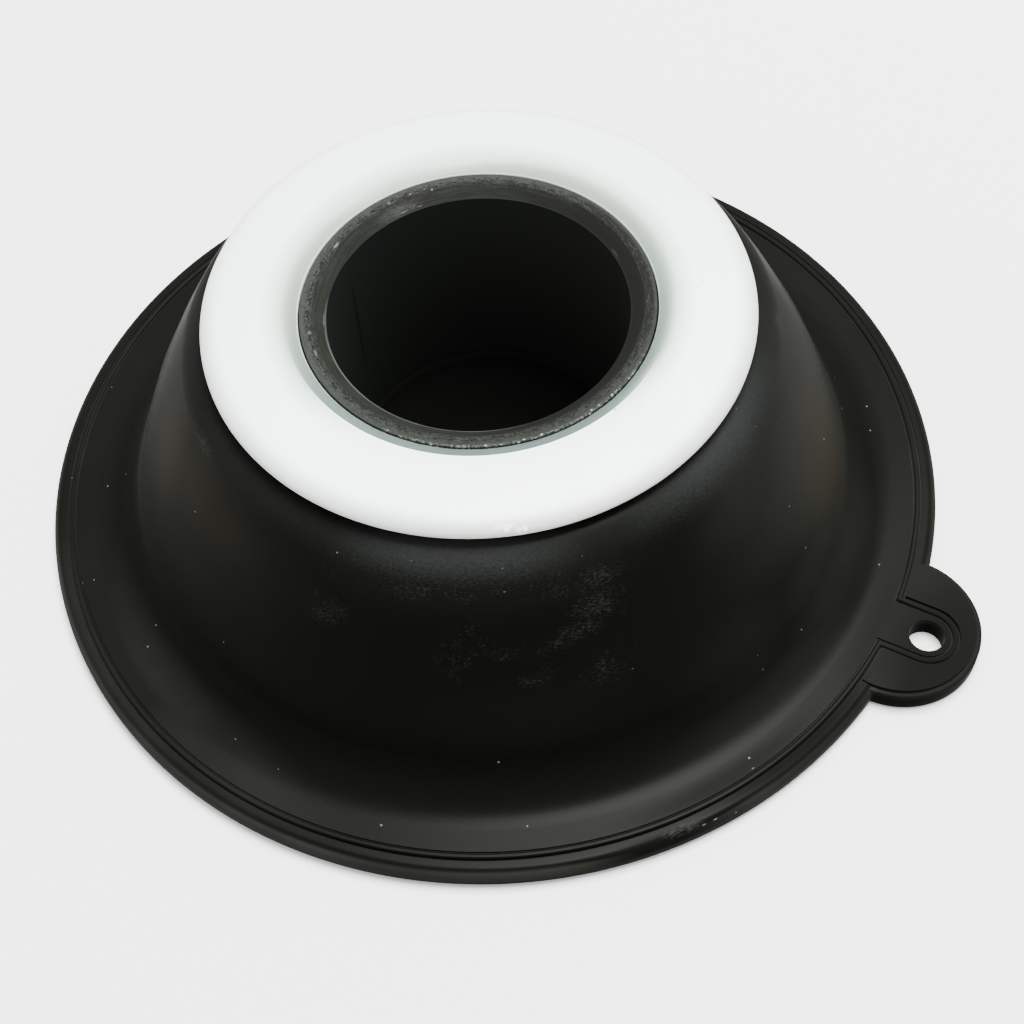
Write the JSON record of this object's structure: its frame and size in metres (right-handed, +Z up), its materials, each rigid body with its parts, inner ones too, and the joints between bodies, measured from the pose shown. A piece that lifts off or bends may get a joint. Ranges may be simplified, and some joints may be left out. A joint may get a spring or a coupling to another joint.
{
  "type": "carburetor diaphragm",
  "caption": "Moulded black rubber carburetor diaphragm: thin bell on a flat brim with a sealing ridge and eared air hole, gripped at its crown by a dark cup and a white nylon ring",
  "frame": {"origin": "on the bell's axis, in the plane that the underside of the brim and the base of the cup rest on", "axes": "+X points outwards through the centre of the ear and its hole, +Z points up along the bell's axis and out of the cup's mouth, and +Y lies in the plane of the brim and completes a right-handed frame"},
  "size_m": [0.086, 0.08, 0.0246],
  "materials": {
    "black_rubber": "satin moulded, dusty",
    "dark_cup": "turned, worn grey and rough on the mouth",
    "white_nylon": "smooth milky, a few specks and scuffs"
  },
  "bodies": {
    "root": {"diaphragm": "black_rubber", "piston_cup": "dark_cup", "retaining_ring": "white_nylon"}
  },
  "joints": []
}
